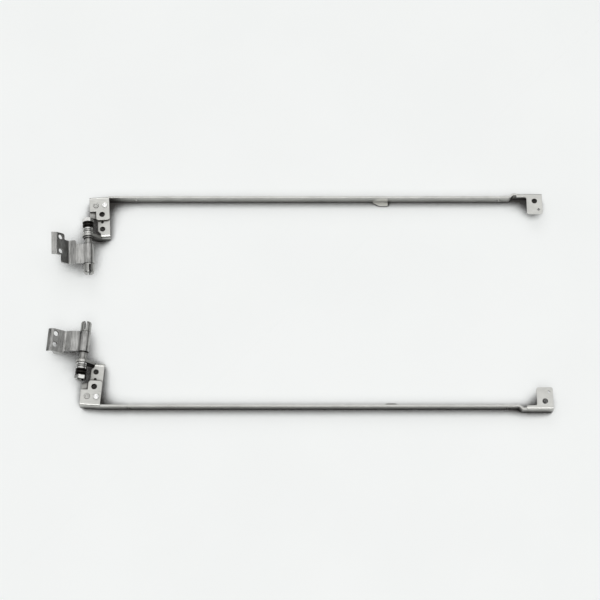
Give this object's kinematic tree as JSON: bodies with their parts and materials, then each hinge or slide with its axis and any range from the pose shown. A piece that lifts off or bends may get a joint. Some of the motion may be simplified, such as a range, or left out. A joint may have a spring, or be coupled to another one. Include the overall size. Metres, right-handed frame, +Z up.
{
  "type": "laptop hinge pair",
  "caption": "Pair of laptop display hinges: stamped side rails with folded screw tabs, riveted brackets, friction shafts and rolled base brackets with joggled wings.",
  "frame": {"origin": "middle of the pair's outline, on the surface it lies on", "axes": "+X along the rails from the shafts to the far tabs, +Y from the right hinge to the left, +Z up"},
  "size_m": [0.2432, 0.112, 0.015],
  "materials": {
    "plated_steel": "satin",
    "base_steel": "grained",
    "shaft_steel": "turned",
    "washer_steel": "satin",
    "bright_steel": "polished",
    "black_spring_steel": "black oxide"
  },
  "bodies": {
    "display_arms": {"left_rail": "plated_steel", "left_display_bracket": "plated_steel", "left_rivets": "bright_steel", "right_rail": "plated_steel", "right_display_bracket": "plated_steel", "right_rivets": "bright_steel"},
    "left_base": {"left_base_bracket": "base_steel", "left_shaft": "shaft_steel", "left_stop_washer": "bright_steel", "left_friction_washer": "washer_steel", "left_seat_washer": "bright_steel", "left_disc_spring_1": "black_spring_steel", "left_disc_spring_2": "black_spring_steel", "left_disc_spring_3": "black_spring_steel", "left_disc_spring_4": "black_spring_steel", "left_lock_nut": "bright_steel"},
    "right_base": {"right_base_bracket": "base_steel", "right_shaft": "shaft_steel", "right_stop_washer": "bright_steel", "right_friction_washer": "washer_steel", "right_seat_washer": "bright_steel", "right_disc_spring_1": "black_spring_steel", "right_disc_spring_2": "black_spring_steel", "right_disc_spring_3": "black_spring_steel", "right_disc_spring_4": "black_spring_steel", "right_lock_nut": "bright_steel"}
  },
  "joints": [
    {"name": "left_hinge", "type": "hinge", "parent": "display_arms", "child": "left_base", "pos_m": [-0.10363, 0.02272, 0.0077], "axis": [-0.0645, 0.9979, 0], "range_deg": [-10, 136]},
    {"name": "right_hinge", "type": "hinge", "parent": "display_arms", "child": "right_base", "pos_m": [-0.10363, -0.02272, 0.0077], "axis": [0.0645, 0.9979, 0], "range_deg": [0, 146]}
  ]
}
